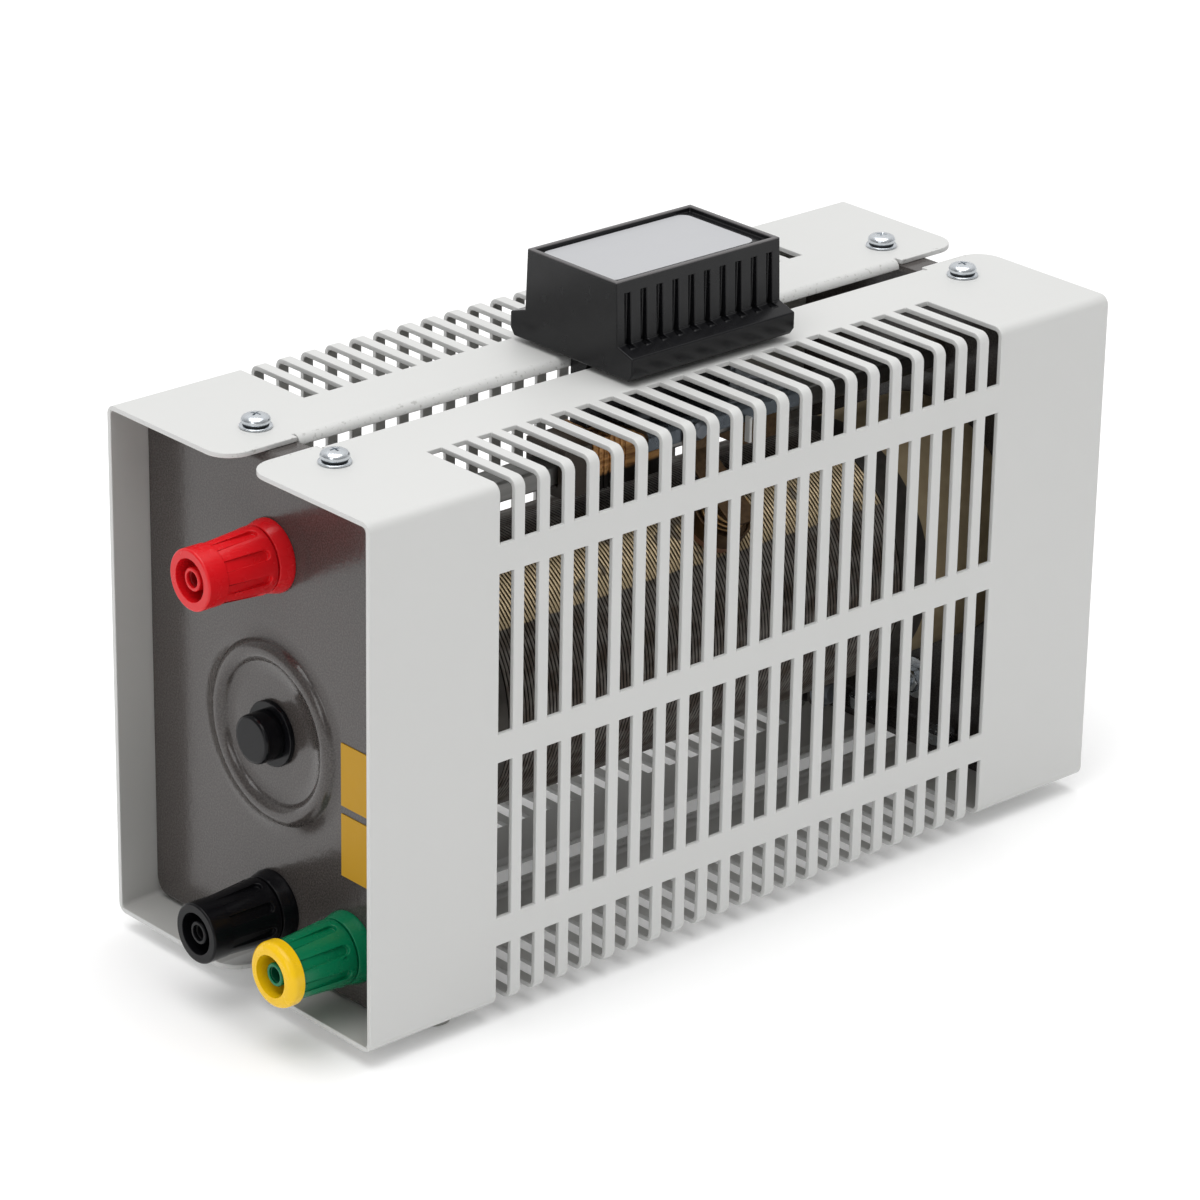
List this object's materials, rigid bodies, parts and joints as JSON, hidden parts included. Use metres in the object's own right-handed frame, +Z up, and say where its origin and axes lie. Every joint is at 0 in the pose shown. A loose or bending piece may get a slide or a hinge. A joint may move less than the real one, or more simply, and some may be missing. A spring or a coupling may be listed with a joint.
{
  "type": "tubular slide rheostat",
  "caption": "Slide rheostat: wire-wound ceramic tube in slotted sheet covers, with a sliding knob and contact on a guide bar and screw-down socket terminals at one end.",
  "frame": {"origin": "centre of the overall length and width, on the plane under the rubber feet", "axes": "+X along the tube from the terminal end to the rear end, +Y from the earth terminal's side to the other side, +Z up through the knob"},
  "size_m": [0.285, 0.11, 0.1832],
  "materials": {
    "amber": "plain amber film",
    "band": "dark oxidised steel band",
    "black_plastic": "black moulded plastic",
    "bronze": "copper graphite",
    "ceramic": "unglazed tan ceramic",
    "cover_paint": "satin light grey powder coat",
    "green_plastic": "dark green moulded plastic",
    "insulator": "dark phenolic",
    "knob_plastic": "fine-grained black plastic",
    "label": "satin light grey plate, bare",
    "lead_black": "black insulated lead",
    "panel_paint": "dark brown-grey hammer paint",
    "plated_brass": "plated brass",
    "red_plastic": "red moulded plastic",
    "rubber": "black moulded rubber",
    "spring_brass": "drawn brass wire",
    "steel": "polished steel",
    "white_plastic": "white nylon",
    "winding": "oxidised resistance wire with a bared track",
    "yellow_plastic": "yellow moulded plastic",
    "zinc": "bright zinc plate"
  },
  "bodies": {
    "case": {"black_lead": "lead_black", "black_terminal_base": "black_plastic", "black_terminal_sleeve": "black_plastic", "centring_discs": "zinc", "ceramic_tube": "ceramic", "clamp_lug": "plated_brass", "clamp_nuts": "zinc", "clamp_screws": "zinc", "clamp_washers": "zinc", "cover_flat_washers": "zinc", "cover_screws": "zinc", "cover_spring_washers": "zinc", "earth_nut": "zinc", "earth_screw": "zinc", "earth_terminal_base": "green_plastic", "earth_terminal_sleeve": "green_plastic", "earth_washer": "zinc", "far_cover": "cover_paint", "front_end_plate": "panel_paint", "guide_bar": "steel", "guide_bar_bush": "insulator", "guide_bar_screw": "zinc", "guide_bar_washer": "insulator", "near_cover": "cover_paint", "panel_patches": "amber", "press_nuts": "zinc", "rear_end_plate": "panel_paint", "red_terminal_base": "red_plastic", "red_terminal_sleeve": "red_plastic", "resistance_winding": "winding", "rod_caps": "black_plastic", "rubber_feet": "rubber", "terminal_bushes": "insulator", "terminal_lug": "plated_brass", "terminal_nuts": "zinc", "terminal_stems": "plated_brass", "tie_rod": "zinc", "tie_rod_nuts": "zinc", "tie_rod_washers": "band", "winding_clamps": "band"},
    "slider": {"cable_tie": "white_plastic", "carriage_bracket": "zinc", "carriage_screws": "zinc", "contact_arm": "zinc", "contact_arm_screw": "zinc", "contact_brush": "bronze", "contact_cup": "spring_brass", "contact_spring": "spring_brass", "front_guide_block": "bronze", "front_guide_shoe": "insulator", "knob_housing": "knob_plastic", "knob_label_plate": "label", "rear_guide_block": "bronze"},
    "red_ring": {"red_clamp_ring": "plated_brass"},
    "red_cap": {"red_terminal_cap": "red_plastic"},
    "black_ring": {"black_clamp_ring": "plated_brass"},
    "black_cap": {"black_terminal_cap": "black_plastic"},
    "earth_ring": {"earth_clamp_ring": "plated_brass"},
    "earth_cap": {"earth_terminal_cap": "green_plastic", "earth_terminal_ring": "yellow_plastic"}
  },
  "joints": [
    {"name": "slider_slide", "type": "slide", "parent": "case", "child": "slider", "axis": [1, 0, 0], "range_m": [-0.08, 0.056]},
    {"name": "red_ring_slide", "type": "slide", "parent": "case", "child": "red_ring", "axis": [-1, 0, 0], "range_m": [0, 0.003]},
    {"name": "red_cap_turn", "type": "hinge", "parent": "red_ring", "child": "red_cap", "pos_m": [-0.1155, 0, 0.126], "axis": [-1, 0, 0], "range_deg": [0, 1080]},
    {"name": "black_ring_slide", "type": "slide", "parent": "case", "child": "black_ring", "axis": [-1, 0, 0], "range_m": [0, 0.003]},
    {"name": "black_cap_turn", "type": "hinge", "parent": "black_ring", "child": "black_cap", "pos_m": [-0.1155, 0, 0.024], "axis": [-1, 0, 0], "range_deg": [0, 1080]},
    {"name": "earth_ring_slide", "type": "slide", "parent": "case", "child": "earth_ring", "axis": [-1, 0, 0], "range_m": [0, 0.003]},
    {"name": "earth_cap_turn", "type": "hinge", "parent": "earth_ring", "child": "earth_cap", "pos_m": [-0.1155, -0.032, 0.024], "axis": [-1, 0, 0], "range_deg": [0, 1080]}
  ],
  "couplings": [
    {"joint": "red_cap_turn", "follows": "red_ring_slide", "rad_per_m": 6283.2},
    {"joint": "black_cap_turn", "follows": "black_ring_slide", "rad_per_m": 6283.2},
    {"joint": "earth_cap_turn", "follows": "earth_ring_slide", "rad_per_m": 6283.2}
  ]
}
